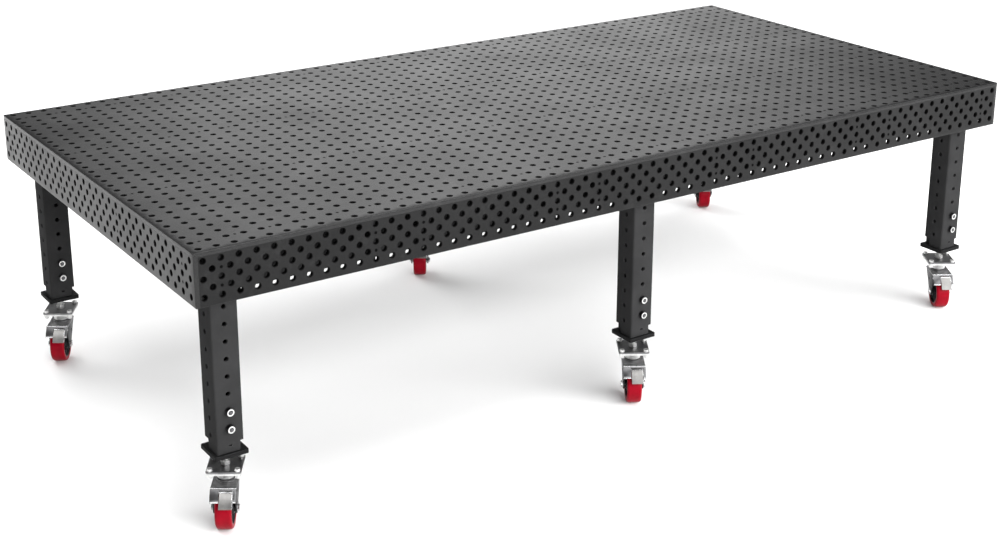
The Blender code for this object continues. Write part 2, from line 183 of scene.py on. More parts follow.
def steel(name, base, dark, roughness, gloss, grain, marks=None):
    """Burnished dark steel: ground grain along one way, faint stains and scuffs, and plug welds."""
    made, tree, shader = nodes_of(name)
    vector = place_vector(tree)
    stains = noise(tree, vector, 3.5, 5.0, 0.6)
    fine = noise(tree, vector, 260.0, 2.0)
    lines = noise(tree, vector, 1.0, 4.0, 0.7, grain)
    scuffs = remap(tree, noise(tree, vector, 11.0, 8.0, 0.75), 0.56, 0.70, 0.0, 1.0)
    colour = mix_colour(tree, remap(tree, stains, *BAND, *SHARE), dark, base)
    worn = tuple(c * 1.45 for c in base)
    colour = mix_colour(tree, math_node(tree, "MULTIPLY", scuffs, remap(tree, lines, 0.4, 0.7, 0.0, 0.5)),
                        colour, worn)
    speckle = remap(tree, noise(tree, vector, 420.0, 3.0, 0.7), *NARROW_BAND, 0.72, 1.28)
    shine = math_node(tree, "MULTIPLY", remap(tree, scuffs, 0.0, 1.0, gloss, gloss * 1.5), speckle)
    if marks:
        plug = marks(tree)
        colour = mix_colour(tree, math_node(tree, "MULTIPLY", plug, 0.85), colour,
                            tuple(c * 0.25 for c in dark))
        shine = math_node(tree, "MULTIPLY", shine, remap(tree, plug, 0.0, 1.0, 1.0, 0.1))
    tree.links.new(colour, shader.inputs["Base Color"])
    tree.links.new(shine, shader.inputs["Specular IOR Level"])
    rough = math_node(tree, "ADD", remap(tree, stains, *BAND, roughness + 0.05, roughness - 0.03),
                      remap(tree, lines, *BAND, -0.03, 0.03))
    if marks:
        rough = math_node(tree, "ADD", rough, math_node(tree, "MULTIPLY", plug, 0.2))
    tree.links.new(rough, shader.inputs["Roughness"])
    height = math_node(tree, "ADD", math_node(tree, "MULTIPLY", lines, 0.6),
                       math_node(tree, "MULTIPLY", fine, 0.4))
    bump(tree, shader, height, 0.12, 0.00015)
    return made


def axes_of(tree):
    coords = tree.nodes.new("ShaderNodeTexCoord")
    split = tree.nodes.new("ShaderNodeSeparateXYZ")
    tree.links.new(coords.outputs["Object"], split.inputs[0])
    return split.outputs


def top_marks(tree):
    x, y, _ = axes_of(tree)
    step = math_node(tree, "FLOORED_MODULO", x, 2 * PITCH)
    along = math_node(tree, "ABSOLUTE", math_node(tree, "SUBTRACT", step, PITCH))
    return plug_share(tree, nearest(tree, y, RIB_LINES), along)


def side_marks(places, axis):
    def build(tree):
        coordinates = axes_of(tree)
        depth = math_node(tree, "SUBTRACT", top_z, coordinates[2])
        return plug_share(tree, nearest(tree, coordinates[axis], places),
                          nearest(tree, depth, SIDE_MARK_DEPTHS))
    return build


def coat(name, base, roughness, specular, wear, texture=0.25):
    """Powder coat: fine orange peel, faint dust, and edges rubbed a little lighter."""
    made, tree, shader = nodes_of(name)
    vector = place_vector(tree)
    cloud = noise(tree, vector, 14.0, 5.0, 0.6)
    peel = noise(tree, vector, 900.0, 2.0)
    dark = tuple(c * 0.78 for c in base)
    colour = mix_colour(tree, remap(tree, cloud, *NARROW_BAND, *SHARE), dark, base)
    rubbed = math_node(tree, "MULTIPLY", edge_share(tree, 0.0015),
                       remap(tree, noise(tree, vector, 60.0, 4.0), 0.42, 0.6, 0.0, wear))
    colour = mix_colour(tree, rubbed, colour, (0.16, 0.16, 0.165))
    tree.links.new(colour, shader.inputs["Base Color"])
    tree.links.new(remap(tree, cloud, *BAND, roughness - 0.05, roughness + 0.07),
                   shader.inputs["Roughness"])
    shader.inputs["Specular IOR Level"].default_value = specular
    bump(tree, shader, peel, texture, 0.0002)
    return made


def zinc(name, base, roughness, dirt=0.35):
    """Zinc plated or bare steel: cloudy plating, rolling marks and patches of grime."""
    made, tree, shader = nodes_of(name)
    vector = place_vector(tree)
    cloud = noise(tree, vector, 45.0, 4.0, 0.6)
    marks = noise(tree, vector, 1.0, 3.0, 0.6, (30.0, 700.0, 700.0))
    dull = tuple(c * 0.72 for c in base)
    colour = mix_colour(tree, remap(tree, cloud, *NARROW_BAND, *SHARE), dull, base)
    grime = remap(tree, noise(tree, vector, 90.0, 6.0, 0.7), 0.60, 0.75, 0.0, dirt)
    colour = mix_colour(tree, grime, colour, (0.20, 0.18, 0.16))
    colour = mix_colour(tree, math_node(tree, "MULTIPLY", edge_share(tree, 0.0008), 0.5), colour,
                        tuple(min(1.0, c * 1.25) for c in base))
    tree.links.new(colour, shader.inputs["Base Color"])
    shader.inputs["Metallic"].default_value = 1.0
    rough = math_node(tree, "ADD", remap(tree, cloud, *BAND, roughness - 0.06, roughness + 0.08),
                      math_node(tree, "MULTIPLY", grime, 0.4))
    tree.links.new(rough, shader.inputs["Roughness"])
    bump(tree, shader, marks, 0.10, 0.0001)
    return made


def plastic(name, base, roughness, scuff, specular=0.3):
    """Cast polyurethane or moulded plastic, with scuffs."""
    made, tree, shader = nodes_of(name)
    vector = place_vector(tree)
    cloud = noise(tree, vector, 30.0, 4.0, 0.6)
    scratches = noise(tree, vector, 1.0, 6.0, 0.75, (400.0, 60.0, 400.0))
    scratches = remap(tree, scratches, 0.58, 0.72, 0.0, scuff)
    deep = tuple(c * 0.75 for c in base)
    colour = mix_colour(tree, remap(tree, cloud, *NARROW_BAND, *SHARE), deep, base)
    colour = mix_colour(tree, scratches, colour, tuple(min(1.0, 0.55 * c + 0.06) for c in base))
    tree.links.new(colour, shader.inputs["Base Color"])
    rough = math_node(tree, "ADD", remap(tree, cloud, *BAND, roughness - 0.04, roughness + 0.06),
                      math_node(tree, "MULTIPLY", scratches, 0.5))
    tree.links.new(rough, shader.inputs["Roughness"])
    shader.inputs["Specular IOR Level"].default_value = specular
    bump(tree, shader, noise(tree, vector, 500.0, 2.0), 0.08, 0.0001)
    return made


BLOCK_STEEL = (0.006, 0.006, 0.0063)
BLOCK_DARK = (0.003, 0.003, 0.0032)
SIDE_STEEL = (0.006, 0.006, 0.0062)
SIDE_DARK = (0.0035, 0.0035, 0.0036)
GRAIN_X = (2.0, 260.0, 260.0)
GRAIN_Y = (260.0, 2.0, 260.0)
finish = {
    "top": steel("top_steel", BLOCK_STEEL, BLOCK_DARK, 0.25, 0.34, GRAIN_X, top_marks),
    "long_side": steel("long_side_steel", SIDE_STEEL, SIDE_DARK, 0.36, 0.18, GRAIN_X,
                       side_marks(RIB_COLUMNS, 0)),
    "end_side": steel("end_side_steel", SIDE_STEEL, SIDE_DARK, 0.33, 0.34, GRAIN_Y,
                      side_marks(RIB_LINES, 1)),
    # the hole chamfers and walls are darker and duller than the plate: painted shade inside the holes
    "edge": steel("hole_edge_steel", (0.005, 0.005, 0.0052), (0.003, 0.003, 0.0031), 0.6, 0.06, GRAIN_X),
    "rim": steel("rim_steel", (0.012, 0.012, 0.0123), (0.007, 0.007, 0.0072), 0.5, 0.4, GRAIN_X),
    "bore": steel("hole_wall_steel", (0.004, 0.004, 0.004), (0.002, 0.002, 0.002), 0.8, 0.05,
                  (80.0, 80.0, 80.0)),
    "rib": steel("rib_steel", (0.012, 0.012, 0.0125), (0.006, 0.006, 0.0065), 0.55, 0.2,
                 (5.0, 5.0, 300.0)),
    "leg": coat("black_coat", (0.026, 0.026, 0.0265), 0.7, 0.05, 0.5),
    "foot": coat("foot_black", (0.007, 0.007, 0.0072), 0.65, 0.12, 0.4),
    "zinc": zinc("zinc", (0.66, 0.66, 0.67), 0.32),
    "arm": zinc("arm_plate", (0.16, 0.16, 0.165), 0.34),
    # near-white zinc: painted highlight, the lit front face of the clamping nuts
    "face": zinc("painted_highlight_white", (0.95, 0.95, 0.94), 0.5, 0.05),
    # bright zinc on bolt heads, axle caps and washers; on the crown rail, the cover's lip and the pedal's
    # flange and front edge it is a painted highlight
    "bolt": zinc("bright_zinc_and_highlight", (0.86, 0.87, 0.88), 0.24, 0.15),
    # grey zinc; on the upper mount plate its grey is painted shade on the plates' top
    "grey": zinc("grey_plate", (0.27, 0.27, 0.275), 0.36),
    # near-white zinc; on the lower mount plate it is the lit front edge, a painted highlight
    "neck": zinc("neck_zinc", (0.93, 0.93, 0.92), 0.45, 0.1),
    # near-black zinc: painted shade on the fork arms and on the clamping nuts and washers
    "black": zinc("painted_shade_black", (0.05, 0.05, 0.052), 0.4),
    "pedal": zinc("pedal_zinc", (0.47, 0.46, 0.45), 0.45),
    # near-black: the dust seal, and painted shade under the castor neck
    "seal": plastic("seal_and_painted_shade_black", (0.03, 0.03, 0.032), 0.5, 0.2),
    "hub": plastic("hub_grey", (0.016, 0.017, 0.018), 0.4, 0.2, 0.2),
    "tread": plastic("red_tread", (0.24, 0.0012, 0.009), 0.34, 0.08, 0.08),
}


# Mesh helpers

def mesh_from(name, points, faces, materials, indices):
    mesh = bpy.data.meshes.new(name)
    mesh.from_pydata(points, [], faces)
    for key in materials:
        mesh.materials.append(finish[key])
    mesh.polygons.foreach_set("material_index", indices)
    mesh.update()
    return mesh


def shade(mesh, angle=35.0):
    mesh.shade_smooth()
    mesh.set_sharp_from_angle(angle=math.radians(angle))
    return mesh


def show(name, mesh, body, slot, spot=(0.0, 0.0, 0.0), turn=0.0, replaces=()):
    piece = bpy.data.objects.new(name, mesh)
    bpy.context.scene.collection.objects.link(piece)
    piece.location = spot
    piece.rotation_euler.z = turn
    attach(piece, body)
    if replaces:
        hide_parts(*replaces)


def prism(outline, low, high, bevel=0.0, segments=2):
    """An anticlockwise outline of (x, y) points extruded from z = low to high, its rims rounded."""
    shape = bmesh.new()
    lower = [shape.verts.new((x, y, low)) for x, y in outline]
    upper = [shape.verts.new((x, y, high)) for x, y in outline]
    shape.faces.new(lower[::-1])
    shape.faces.new(upper)
    for i in range(len(outline)):
        j = (i + 1) % len(outline)
        shape.faces.new((lower[i], lower[j], upper[j], upper[i]))
    if bevel:
        round_edges(shape, bevel, segments)
    return shape


def round_edges(shape, offset, segments=2, least=25.0):
    shape.normal_update()
    sharp = [e for e in shape.edges if e.is_manifold and e.calc_face_angle(0.0) > math.radians(least)]
    bmesh.ops.bevel(shape, geom=sharp, offset=offset, segments=segments, affect="EDGES", profile=0.5)


def box(x, y, z, bevel=0.0, segments=2):
    return prism([(x[0], y[0]), (x[1], y[0]), (x[1], y[1]), (x[0], y[1])], z[0], z[1], bevel, segments)


def ring_points(radius, sides, turn=0.0, centre=(0.0, 0.0)):
    angles = [turn + 2 * math.pi * i / sides for i in range(sides)]
    return [(centre[0] + radius * math.cos(a), centre[1] + radius * math.sin(a)) for a in angles]


def rounded_rectangle(half_u, half_v, corner, steps=5):
    points = []
    for index, (sx, sy) in enumerate(((1, 1), (-1, 1), (-1, -1), (1, -1))):
        for step in range(steps + 1):
            angle = math.pi / 2 * (index + step / steps)
            points.append((sx * (half_u - corner) + corner * math.cos(angle),
                           sy * (half_v - corner) + corner * math.sin(angle)))
    return points


def arc(centre, radius, start, end, steps):
    angles = [math.radians(start + (end - start) * i / steps) for i in range(steps + 1)]
    return [(centre[0] + radius * math.cos(a), centre[1] + radius * math.sin(a)) for a in angles]


def lathe(profile, sides, closed=False):
    """A profile of (radius, height) points turned about z. Open profiles start and end on the axis."""
    shape = bmesh.new()
    rings = []
    for i in range(sides):
        angle = 2 * math.pi * i / sides
        rings.append([shape.verts.new((r * math.cos(angle), r * math.sin(angle), h)) for r, h in profile])
    count = len(profile)
    for i in range(sides):
        here, following = rings[i], rings[(i + 1) % sides]
        for j in range(count if closed else count - 1):
            k = (j + 1) % count
            shape.faces.new((here[j], following[j], following[k], here[k]))
    bmesh.ops.remove_doubles(shape, verts=shape.verts, dist=1e-7)
    bmesh.ops.recalc_face_normals(shape, faces=shape.faces)
    return shape


def turned(shape, matrix):
    bmesh.ops.transform(shape, matrix=matrix, verts=shape.verts)
    return shape


def moved(shape, x=0.0, y=0.0, z=0.0):
    return turned(shape, Matrix.Translation((x, y, z)))


def along_y(shape):
    """Drawn in (x, y) and extruded in z becomes drawn in (x, z) and extruded in -y."""
    return turned(shape, Matrix.Rotation(math.pi / 2, 4, "X"))


def along_x(shape):
    return turned(shape, Matrix.Rotation(math.pi / 2, 4, "Y"))


def joined(name, parts, smooth=35.0):
    """One mesh of several solids, each given with the key of its material."""
    target, keys = bmesh.new(), []
    for shape, key in parts:
        if key not in keys:
            keys.append(key)
        for face in shape.faces:
            face.material_index = keys.index(key)
        temporary = bpy.data.meshes.new("temporary")
        shape.to_mesh(temporary)
        shape.free()
        target.from_mesh(temporary)
        bpy.data.meshes.remove(temporary)
    mesh = bpy.data.meshes.new(name)
    target.to_mesh(mesh)
    target.free()
    for key in keys:
        mesh.materials.append(finish[key])
    return shade(mesh, smooth)


def combined(shape, others, operation):
    """The solid after a boolean with each of the others in turn. All of them are used up."""
    def as_object(solid):
        mesh = bpy.data.meshes.new("carving")
        solid.to_mesh(mesh)
        solid.free()
        made = bpy.data.objects.new("carving", mesh)
        bpy.context.scene.collection.objects.link(made)
        return made
    base = as_object(shape)
    helpers = [as_object(other) for other in others]
    for helper in helpers:
        modifier = base.modifiers.new("cut", "BOOLEAN")
        modifier.operation = operation
        modifier.solver = "EXACT"
        modifier.object = helper
    bpy.context.view_layer.update()
    result = bmesh.new()
    result.from_object(base, bpy.context.evaluated_depsgraph_get())
    for item in (base, *helpers):
        mesh = item.data
        bpy.data.objects.remove(item)
        bpy.data.meshes.remove(mesh)
    return result


def carved(shape, cutters):
    return combined(shape, cutters, "DIFFERENCE")


# Perforated plates

PLATE_MATERIALS = ("edge", "bore", "rim")
RIM_INDEX = 3  # the rim's place in a plate's materials
EDGE_ROUND = 0.0022


def perforated(name, cells, fillers, thickness, to_world, materials):
    """A plate drawn in (u, v) with its outer face at depth 0.

    Each cell is (u low, u high, v low, v high, centre u, centre v) and has a hole at its centre;
    fillers are plain polygons. to_world turns (u, v, depth) into a point."""
    points, faces, indices, shared = [], [], [], {}
    circle = ring_points(1.0, HOLE_SIDES)
    eighth = HOLE_SIDES // 8

    def corner(u, v, depth):
        key = (round(u * 1e6), round(v * 1e6), depth)
        if key not in shared:
            shared[key] = len(points)
            points.append(to_world(u, v, depth))
        return shared[key]

    def add(face, index):
        faces.append(face)
        indices.append(index)

    outlines = []
    for u0, u1, v0, v1, cu, cv in cells:
        around = [(u1, cv), (u1, v1), (cu, v1), (u0, v1), (u0, cv), (u0, v0), (cu, v0), (u1, v0)]
        outlines.append(around)
        rings = []
        for radius, depth in ((HOLE_RADIUS + HOLE_CHAMFER, 0.0), (HOLE_RADIUS, HOLE_CHAMFER),
                              (HOLE_RADIUS, thickness)):
            rings.append(range(len(points), len(points) + HOLE_SIDES))
            points.extend(to_world(cu + radius * x, cv + radius * y, depth) for x, y in circle)
        for k in range(8):
            span = [(k * eighth + i) % HOLE_SIDES for i in range(eighth + 1)]
            a, b = around[k], around[(k + 1) % 8]
            add([corner(*a, 0.0), corner(*b, 0.0)] + [rings[0][i] for i in reversed(span)], 0)
            add([corner(*b, thickness), corner(*a, thickness)] + [rings[2][i] for i in span], 0)
        for i in range(HOLE_SIDES):
            j = (i + 1) % HOLE_SIDES
            add([rings[0][i], rings[0][j], rings[1][j], rings[1][i]], 1)
            add([rings[1][i], rings[1][j], rings[2][j], rings[2][i]], 2)
    for outline in fillers:
        outlines.append(outline)
        add([corner(*p, 0.0) for p in outline], 0)
        add([corner(*p, thickness) for p in reversed(outline)], 0)
    edges = set()
    for outline in outlines:
        keys = [(round(u * 1e6), round(v * 1e6)) for u, v in outline]
        edges.update(zip(keys, keys[1:] + keys[:1]))
    for a, b in edges:
        if (b, a) not in edges:
            add([shared[(*p, depth)] for p, depth in ((a, 0.0), (a, thickness), (b, thickness), (b, 0.0))], 0)
    return mesh_from(name, points, faces, materials, indices)


def round_outside(mesh, chosen, offset, segments=3):
    """Rounds the edges whose two ends both satisfy the test."""
    shape = bmesh.new()
    shape.from_mesh(mesh)
    shape.normal_update()
    picked = [e for e in shape.edges if all(chosen(v.co) for v in e.verts)
              and e.is_manifold and e.calc_face_angle(0.0) > 0.5]
    bmesh.ops.bevel(shape, geom=picked, offset=offset, segments=segments, affect="EDGES", profile=0.5,
                    material=RIM_INDEX)
    shape.to_mesh(mesh)
    shape.free()
    return shade(mesh)


def grid_cells(half_u, v_low, v_high, centres_u, centre_v, clamp):
    cells = []
    for u in centres_u:
        u0, u1 = max(u - half_u, -clamp), min(u + half_u, clamp)
        cells.append((u0, u1, v_low, v_high, u, centre_v))
    return cells


SIDE_ROWS = 5


def side_pattern(half_length, clamp, v_top, v_bottom):
    """Five hole rows, the second and fourth shifted by half a pitch, measured down from the top."""
    count = round(2 * half_length / PITCH)
    straight = [-half_length + PITCH * (i + 0.5) for i in range(count)]
    shifted = [-half_length + PITCH * (i + 1) for i in range(count - 1)]
    half = PITCH / 2
    cells, fillers = [], []
    for row in range(SIDE_ROWS):
        centre = -(row + 1) * half
        high = v_top if row == 0 else centre + half / 2
        low = centre - half / 2
        cells += grid_cells(half, low, high, shifted if row % 2 else straight, centre, clamp)
        if row % 2:
            inner = half_length - half
            fillers.append([(inner, low), (clamp, low), (clamp, high), (inner, high), (inner, centre)])
            fillers.append([(-clamp, low), (-inner, low), (-inner, centre), (-inner, high), (-clamp, high)])
    # plain strip under the lowest row, with the same corners as the row above it
    low_row = -SIDE_ROWS * half - half / 2
    stops = sorted({max(-clamp, min(clamp, -half_length + half * i)) for i in range(2 * count + 1)})
    for a, b in zip(stops, stops[1:]):
        fillers.append([(a, v_bottom), (b, v_bottom), (b, low_row), (a, low_row)])
    return cells, fillers


def at(value, target):
    return abs(value - target) < SAME


def build_top():
    columns = [-half_x + PITCH * (i + 0.5) for i in range(round(2 * half_x / PITCH))]
    cells = []
    for j in range(round(2 * half_y / PITCH)):
        v = -half_y + PITCH * (j + 0.5)
        cells += grid_cells(PITCH / 2, v - PITCH / 2, v + PITCH / 2, columns, v, half_x)
    mesh = perforated("perforated_top", cells, [], plate,
                      lambda u, v, d: (u, v, top_z - d), ("top", *PLATE_MATERIALS))

    def outer(point):
        on_end, on_side = at(abs(point.x), half_x), at(abs(point.y), half_y)
        return (on_end or on_side) and (at(point.z, top_z) or (on_end and on_side))
    show("perforated_top", round_outside(mesh, outer, EDGE_ROUND), "table", "top_steel",
         replaces=("top_plate",))


def build_long_side(side, node):
    cells, fillers = side_pattern(half_x, side_high.x, side_high.z - top_z, side_low.z - top_z)
    outside = side * half_y

    def to_world(u, v, depth):
        """u runs along +x at the front and -x at the back, so that the faces look out."""
        return (-side * u, outside - side * depth, top_z + v)
    mesh = perforated(node + "_holes", cells, fillers, side_high.y - side_low.y, to_world,
                      ("long_side", *PLATE_MATERIALS))

    def outer(point):
        return at(point.z, side_low.z) and at(abs(point.y), half_y)
    show("perforated_" + node, round_outside(mesh, outer, 0.001, 2), "table", "side_steel",
         replaces=(node,))


def build_end_side(side, node):
    cells, fillers = side_pattern(half_y, half_y, end_high.z - top_z, end_low.z - top_z)
    outside = side * half_x

    def to_world(u, v, depth):
        return (outside - side * depth, side * u, top_z + v)
    mesh = perforated(node + "_holes", cells, fillers, end_high.x - end_low.x, to_world,
                      ("end_side", *PLATE_MATERIALS))

    def outer(point):
        low_rim, upright = at(point.z, end_low.z), at(abs(point.y), half_y)
        return at(abs(point.x), half_x) and (low_rim or upright)
    show("perforated_" + node, round_outside(mesh, outer, EDGE_ROUND), "table", "side_steel",
         replaces=(node,))


# Legs

LEG_HALF, LEG_CORNER = 0.040, 0.006
LEG_INNER, LEG_INNER_CORNER = 0.032, 0.003
LEG_FOOT = 0.2223
NOTCH_U, NOTCH_V, NOTCH_TOP = 0.028, 0.014, 0.250
DRAIN_SLOT_Z = 0.242
DRAIN_SLOT = (0.005, 0.0025, 0.0024)  # half width, half height, corner
HEAD_LOW, HEAD_HIGH = 0.6717, 0.6797
HEAD_HALF, HEAD_CORNER, HEAD_ROUND = 0.055, 0.005, 0.0006
LEG_BEAD = ((-0.001, -0.006), (0.0025, -0.0035), (0.005, 0.0005), (-0.001, 0.0005))  # out, up
LEG_HOLE, LEG_HOLE_SINK = 0.0065, 0.0016
HOLES_IN_LINE = 8
TOP_HOLE_Y, TOP_HOLE_X = 0.6425, 0.6175  # heights of the highest holes along y and along x
BOLT_Z = (0.3425, 0.2925)
REACH = 0.060  # a cutter through a leg goes this far each way
SPARE = 0.010  # a cutter for the inside of a tube passes its end by this much
SMOOTH_TUBE = 28.0


def hole_cutter(z, across):
    """A round cutter through the leg, countersunk at both faces."""
    flare = LEG_HOLE + LEG_HOLE_SINK
    wide = flare + 0.002
    profile = [(0.0, -REACH), (wide, -REACH), (flare, -LEG_HALF), (LEG_HOLE, -LEG_HALF + LEG_HOLE_SINK),
               (LEG_HOLE, LEG_HALF - LEG_HOLE_SINK), (flare, LEG_HALF), (wide, REACH), (0.0, REACH)]
    return moved(across(lathe(profile, 24)), z=z)


def leg_mesh():
    tube = prism(rounded_rectangle(LEG_HALF, LEG_HALF, LEG_CORNER), LEG_FOOT, HEAD_LOW + 0.001)
    cuts = [prism(rounded_rectangle(LEG_INNER, LEG_INNER, LEG_INNER_CORNER), LEG_FOOT - SPARE, HEAD_LOW)]
    for i in range(HOLES_IN_LINE):
        cuts.append(hole_cutter(TOP_HOLE_Y - PITCH * i, along_y))
        cuts.append(hole_cutter(TOP_HOLE_X - PITCH * i, along_x))
    cuts.append(moved(along_y(prism(rounded_rectangle(*DRAIN_SLOT, 4), -REACH, REACH)), z=DRAIN_SLOT_Z))
    for turn in (0.0, math.pi):
        notch = box((NOTCH_U, 0.050), (-0.050, -NOTCH_V), (LEG_FOOT - SPARE, NOTCH_TOP), 0.003, 3)
        cuts.append(turned(notch, Matrix.Rotation(turn, 4, "Z")))
    tube = carved(tube, cuts)
    head = prism(rounded_rectangle(HEAD_HALF, HEAD_HALF, HEAD_CORNER), HEAD_LOW, HEAD_HIGH, HEAD_ROUND)
    bead = bmesh.new()
    rings = []
    for out, up in LEG_BEAD:
        outline = rounded_rectangle(LEG_HALF + out, LEG_HALF + out, LEG_CORNER)
        rings.append([bead.verts.new((x, y, HEAD_LOW + up)) for x, y in outline])
    for j, lower in enumerate(rings):
        upper = rings[(j + 1) % len(rings)]
        for i in range(len(lower)):
            k = (i + 1) % len(lower)
            bead.faces.new((lower[i], lower[k], upper[k], upper[i]))
    bmesh.ops.recalc_face_normals(bead, faces=bead.faces)
    return joined("leg", [(tube, "leg"), (head, "leg"), (bead, "leg")], SMOOTH_TUBE)


def hexagon_solid(across_flats, low, high, chamfer):
    """A hexagonal nut or head along z with its corners turned off at both ends."""
    beyond = 0.001  # how far the cone passes the ends
    clear = 0.0005  # and the corners
    face = across_flats / 2 - chamfer * 0.2
    corner = across_flats / math.sqrt(3)
    body = prism(ring_points(corner, 6), low, high)
    cone = [(0.0, low - beyond), (face, low - beyond), (face, low), (corner + clear, low + chamfer),
            (corner + clear, high - chamfer), (face, high), (face, high + beyond), (0.0, high + beyond)]
    return combined(body, [lathe(cone, 36)], "INTERSECT")


def nut(across_flats, low, high, bore, chamfer=0.0014):
    """A chamfered hexagon nut with a countersunk bore."""
    body = hexagon_solid(across_flats, low, high, chamfer)
    sink, beyond = 0.0012, 0.002
    wide = bore + sink + beyond
    cutter = lathe([(0.0, low - beyond), (wide, low - beyond), (bore, low + sink),
                    (bore, high - sink), (wide, high + beyond), (0.0, high + beyond)], 24)
    return carved(body, [cutter])


THREAD_DEPTH = 0.55  # of the pitch


def threaded(radius, low, high, pitch, sides=20, tip=0.001):
    """A rod with thread rings between a chamfered low and high end."""
    root = radius - THREAD_DEPTH * pitch
    profile = [(0.0, low), (root, low), (radius, low + tip)]
    z = low + tip
    while z + pitch < high - tip:
        profile += [(radius, z), (root, z + pitch * 0.5), (radius, z + pitch)]
        z += pitch
    profile += [(radius, high - tip), (root, high), (0.0, high)]
    clean = [p for i, p in enumerate(profile) if i == 0 or p != profile[i - 1]]
    return lathe(clean, sides)


def washer(outer, bore, low, high):
    edge = 0.0004
    return lathe([(bore, low), (outer - edge, low), (outer, low + edge), (outer, high - edge),
                  (outer - edge, high), (bore, high)], 32, closed=True)


CLAMP_FACE = 0.0402
CLAMP_WASHER = (0.0125, 0.0066)  # radius, bore
CLAMP_WASHER_THICK = 0.0023
CLAMP_NUT_FLATS, CLAMP_NUT_THICK, CLAMP_NUT_BORE = 0.021, 0.0095, 0.0064
CLAMP_RING = (0.0103, 0.0067)  # the white ring on the nut's front face, a painted highlight: radius, bore
CLAMP_RING_LOW, CLAMP_RING_HIGH = 0.0093, 0.0103
CLAMP_THREAD, CLAMP_THREAD_END, CLAMP_PITCH = 0.0050, 0.0125, 0.00175
CLAMP_HEAD_FLATS, CLAMP_HEAD_THICK, CLAMP_HEAD_CHAMFER = 0.019, 0.0080, 0.0012
CLAMP_SHANK = 0.0059
CLAMP_SPIN, CLAMP_SPIN_BY_HEIGHT = 17.0, 900.0  # degrees, and degrees a metre


def clamping_bolts_mesh():
    """Two bolts through the leg, nuts towards -y."""
    parts = []
    low = CLAMP_FACE + CLAMP_WASHER_THICK
    for z in BOLT_Z:
        for side in (1, -1):
            spin = math.radians(CLAMP_SPIN * side + CLAMP_SPIN_BY_HEIGHT * z)
            # washer and nut in near-black zinc, painted shade on their sides
            pieces = [(washer(*CLAMP_WASHER, CLAMP_FACE, low), "black")]
            if side > 0:
                pieces.append((nut(CLAMP_NUT_FLATS, low, low + CLAMP_NUT_THICK, CLAMP_NUT_BORE), "black"))
                # the white ring is a painted highlight on the nut's lit front face
                pieces.append((washer(*CLAMP_RING, low + CLAMP_RING_LOW, low + CLAMP_RING_HIGH), "face"))
                pieces.append((threaded(CLAMP_THREAD, 0.0, low + CLAMP_THREAD_END, CLAMP_PITCH), "arm"))
            else:
                head = hexagon_solid(CLAMP_HEAD_FLATS, low, low + CLAMP_HEAD_THICK, CLAMP_HEAD_CHAMFER)
                pieces.append((head, "bolt"))
                pieces.append((prism(ring_points(CLAMP_SHANK, 20), 0.0, low), "grey"))
            for shape, key in pieces:
                turned(shape, Matrix.Rotation(spin, 4, "Z"))
                shape = along_y(shape)
                if side < 0:
                    turned(shape, Matrix.Rotation(math.pi, 4, "Z"))
                parts.append((moved(shape, z=z), key))
    return joined("clamping_bolts", parts)


BASE_HALF, BASE_CORNER, BASE_ROUND = 0.0495, 0.006, 0.0009
BASE_LOW, BASE_HIGH = 0.210, 0.222
STEM_HOLE, STEM_HOLE_LOW, STEM_HOLE_HIGH = 0.0096, 0.2, 0.25
INSERT_HALF, INSERT_CORNER = 0.0315, 0.005
INSERT_INNER, INSERT_INNER_CORNER = 0.0275, 0.003
INSERT_TOP = 0.480
INSERT_SLOT = (0.0068, 0.084, 0.0067)  # half width, half height, corner
INSERT_SLOT_Z = 0.368


def foot_mesh():
    base = prism(rounded_rectangle(BASE_HALF, BASE_HALF, BASE_CORNER), BASE_LOW, BASE_HIGH, BASE_ROUND, 2)
    hole = lathe([(0.0, STEM_HOLE_LOW), (STEM_HOLE, STEM_HOLE_LOW), (STEM_HOLE, STEM_HOLE_HIGH),
                  (0.0, STEM_HOLE_HIGH)], 24)
    base = carved(base, [hole])
    tube = prism(rounded_rectangle(INSERT_HALF, INSERT_HALF, INSERT_CORNER), BASE_HIGH - 0.0005, INSERT_TOP)
    inside = rounded_rectangle(INSERT_INNER, INSERT_INNER, INSERT_INNER_CORNER)
    cuts = [prism(inside, BASE_HIGH - 0.002, INSERT_TOP + SPARE)]
    cuts.append(moved(along_y(prism(rounded_rectangle(*INSERT_SLOT, 6), -REACH, REACH)), z=INSERT_SLOT_Z))
    tube = carved(tube, cuts)
    return joined("foot", [(base, "foot"), (tube, "foot")], SMOOTH_TUBE)


# Castors, drawn with u (the trail) along x and the wheel across y

# the upper plate's grey is painted shade on the plates' top; the lower plate's near-white is a painted
# highlight on their lit front edge
MOUNT_PLATES = (  # low, high, half u, half v, material
    (0.1652, 0.1700, 0.0500, 0.0480, "grey"),
    (0.1590, 0.1648, 0.0497, 0.0477, "neck"),
)
MOUNT_CORNER, MOUNT_ROUND = 0.006, 0.0008
MOUNT_SLOT = (0.0046, 0.0065, 0.0045)  # half u, half v, corner
MOUNT_BOLT_U, MOUNT_BOLT_V = 0.041, 0.0375
MOUNT_WASHER = (0.0085, 0.0044)  # radius, bore
MOUNT_FLATS, MOUNT_CHAMFER, MOUNT_THREAD, MOUNT_PITCH = 0.0142, 0.0010, 0.0040, 0.00125
NECK_PROFILE = (
    (0.0, 0.1306), (0.0235, 0.1306), (0.0245, 0.1316), (0.0245, 0.1368), (0.0238, 0.1374),
    (0.0238, 0.1384), (0.0245, 0.1390), (0.0245, 0.1560), (0.0258, 0.1580), (0.0258, 0.1592),
    (0.0, 0.1592),
)


